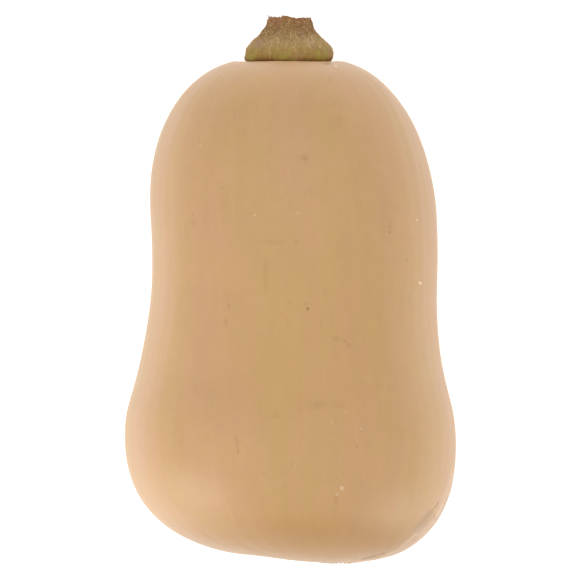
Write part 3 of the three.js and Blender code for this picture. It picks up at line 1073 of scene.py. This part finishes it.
class SQUASH_OT_fibres(bpy.types.Operator):
    """Adds the torn fibres round the stem's tip and the short bristles on its flanks"""

    bl_idname = "squash.fibres"
    bl_label = "Fibres"

    def execute(self, context):
        sizes = context.scene.squash_stem
        place, _ = stem_grid(sizes, context.scene.squash_fruit.crown_height)
        points = laid_down(place, "stem")
        normals = grid_normals(points)
        axis = np.array((0, math.cos(LEAN), -math.sin(LEAN)))
        rng = np.random.default_rng(31)
        rows = rng.integers(UNDER_RINGS + 16, UNDER_RINGS + FLANK_RINGS - 4, sizes.bristles)
        columns = rng.integers(0, STEM_SIDES, sizes.bristles)
        roots = points[rows, columns]
        ways = normals[rows, columns] + 0.9 * axis + rng.normal(0, 0.25, (sizes.bristles, 3))
        lengths = rng.uniform(*BRISTLE_LENGTHS, sizes.bristles) * MM
        thick = rng.uniform(*BRISTLE_RADII, sizes.bristles) * MM
        rim_columns = rng.integers(0, STEM_SIDES, sizes.fibres)
        rim_rows = UNDER_RINGS + FLANK_RINGS + rng.integers(-3, 6, sizes.fibres)
        roots = np.vstack([roots, points[rim_rows, rim_columns]])
        rim_ways = axis + 0.35 * normals[rim_rows, rim_columns] + rng.normal(0, 0.3, (sizes.fibres, 3))
        ways = np.vstack([ways, rim_ways])
        lengths = np.concatenate([lengths, rng.uniform(*FIBRE_LENGTHS, sizes.fibres) * MM])
        thick = np.concatenate([thick, rng.uniform(*FIBRE_RADII, sizes.fibres) * MM])
        # Two longer fibres that stand out at the left of the rim.
        left = points[UNDER_RINGS + FLANK_RINGS, STEM_SIDES // 2 - 20]
        roots = np.vstack([roots, left, left])
        ways = np.vstack([ways, axis + np.array(((-1.3, 0, 0.2), (-0.9, 0, 0.3)))])
        lengths = np.append(lengths, (2.0 * MM, 1.5 * MM))
        thick = np.append(thick, (0.16 * MM, 0.12 * MM))
        vertices, faces = thin_spikes(roots, ways, lengths, thick, rng)
        low, high = (np.array(corner) for corner in cad_box)
        vertices = np.clip(vertices, low, high)
        material = fibre_finish(context.scene.squash_stem_colours)
        add_piece("stem_fibres", vertices, faces, material, {"body_place": vertices})
        return {"FINISHED"}


def thin_spikes(roots, ways, lengths, thick, rng):
    """Thin bent spikes with three sides, closed at the root."""
    vertices, faces = [], []
    for root, way, size, radius in zip(roots, ways, lengths, thick):
        way = way / np.linalg.norm(way)
        side = np.cross(way, rng.normal(size=3))
        side /= np.linalg.norm(side)
        other = np.cross(way, side)
        bend = (side * rng.normal() + other * rng.normal()) * size * 0.12
        first = len(vertices)
        for level, width in ((-0.15, 1.0), (0.55, 0.7)):
            middle = root + way * size * level + bend * max(level, 0) ** 2
            for corner in range(3):
                turn = corner * math.tau / 3
                vertices.append(middle + radius * width * (side * math.cos(turn) + other * math.sin(turn)))
        vertices.append(root + way * size + bend)
        tip = first + 6
        faces.append((first, first + 2, first + 1))
        for corner in range(3):
            here, after = corner, (corner + 1) % 3
            faces.append((first + here, first + after, first + 3 + after, first + 3 + here))
            faces.append((first + 3 + here, first + 3 + after, tip))
    return np.array(vertices), faces


class SQUASH_OT_stage(bpy.types.Operator):
    """Adds the plain floor, the soft light and the camera"""

    bl_idname = "squash.stage"
    bl_label = "Stage"

    def execute(self, context):
        scene = context.scene
        settings = scene.squash_stage
        scene.view_settings.view_transform = "Standard"
        self.add_floor(settings)
        self.add_room(scene, settings)
        shift = group_shift(FruitForm(scene.squash_fruit))
        up = Vector((0, math.cos(LEAN), -math.sin(LEAN)))
        towards = Vector((0, math.sin(LEAN), math.cos(LEAN)))
        target = Vector(shift) + Vector((settings.view_across, 0, LIFT)) + up * settings.view_height
        self.add_camera(scene, settings, target, up, towards)
        self.add_window("left_window", settings.left_window, LEFT_WINDOW_WAY, settings)
        self.add_window("right_window", settings.right_window, RIGHT_WINDOW_WAY, settings)
        return {"FINISHED"}

    def add_floor(self, settings):
        half = settings.floor_size / 2
        mesh = bpy.data.meshes.new("floor")
        corners = [(-half, -half, 0), (half, -half, 0), (half, half, 0), (-half, half, 0)]
        mesh.from_pydata(corners, [], [(0, 1, 2, 3)])
        mesh.materials.append(floor_finish(settings.floor_glow))
        floor = bpy.data.objects.new("floor", mesh)
        bpy.context.scene.collection.objects.link(floor)

    def add_room(self, scene, settings):
        """A white room with its own brightness on each side and overhead."""
        world = bpy.data.worlds.new("white_room")
        world.use_nodes = True
        scene.world = world
        room = Recipe(world.node_tree)
        direction = room.node("ShaderNodeTexCoord", output="Generated")
        across, along, height = (room.part(direction, axis) for axis in "XYZ")
        brightness = height * height * settings.room_top
        for wire, sign, side in (
            (across, -1, settings.room_left),
            (across, 1, settings.room_right),
            (along, -1, settings.room_front),
            (along, 1, settings.room_back),
        ):
            towards = room.maths("MAXIMUM", wire * sign, 0)
            brightness = brightness + towards * towards * side
        sky = room.node("ShaderNodeBackground", None, {"Color": (1.0, 1.0, 1.0), "Strength": brightness})
        room.node("ShaderNodeOutputWorld", None, {"Surface": sky}, None)

    def add_camera(self, scene, settings, target, up, towards):
        lens = bpy.data.cameras.new("camera")
        lens.lens = settings.lens
        distance = settings.view_width * settings.lens / lens.sensor_width
        camera = bpy.data.objects.new("camera", lens)
        turn = Matrix((Vector((1, 0, 0)), up, towards)).transposed().to_4x4()
        camera.matrix_world = Matrix.Translation(target + towards * distance) @ turn
        lens.clip_start, lens.clip_end = 0.05, 50
        scene.collection.objects.link(camera)
        scene.camera = camera

    def add_window(self, name, power, way, settings):
        """A soft window low on one side of the bulb, which leaves a dull highlight on it."""
        light = bpy.data.lights.new(name, "AREA")
        light.shape = "RECTANGLE"
        light.size, light.size_y = settings.window_width, settings.window_height
        light.energy = power
        window = bpy.data.objects.new(name, light)
        way = way.normalized()
        window.location = WINDOW_TARGET + way * settings.window_distance
        window.rotation_euler = way.to_track_quat("Z", "Y").to_euler()
        window.visible_camera = False
        bpy.context.scene.collection.objects.link(window)


class SQUASH_PT_panel(bpy.types.Panel):
    """Lists the pieces of the squash"""

    bl_idname = "SQUASH_PT_panel"
    bl_label = "Butternut squash"
    bl_space_type = "VIEW_3D"
    bl_region_type = "UI"
    bl_category = "Squash"

    def draw(self, context):
        for piece in PIECES:
            self.layout.operator(piece.bl_idname)
        for group in GROUPS:
            settings = getattr(context.scene, group)
            box = self.layout.box()
            for key in settings.__annotations__:
                box.prop(settings, key)


PIECES = (SQUASH_OT_fruit, SQUASH_OT_stem, SQUASH_OT_fibres, SQUASH_OT_stage)
GROUPS = {
    "squash_fruit": FruitSizes,
    "squash_fruit_colours": FruitColours,
    "squash_stem": StemSizes,
    "squash_stem_colours": StemColours,
    "squash_stage": StageSettings,
}


def register():
    for group in (*GROUPS.values(), *PIECES, SQUASH_PT_panel):
        bpy.utils.register_class(group)
    for name, group in GROUPS.items():
        setattr(bpy.types.Scene, name, PointerProperty(type=group))


def unregister():
    for name in GROUPS:
        delattr(bpy.types.Scene, name)
    for group in reversed((*GROUPS.values(), *PIECES, SQUASH_PT_panel)):
        bpy.utils.unregister_class(group)


def main():
    register()
    bpy.ops.squash.fruit()
    bpy.ops.squash.stem()
    bpy.ops.squash.fibres()
    bpy.ops.squash.stage()


if __name__ == "__main__":
    main()
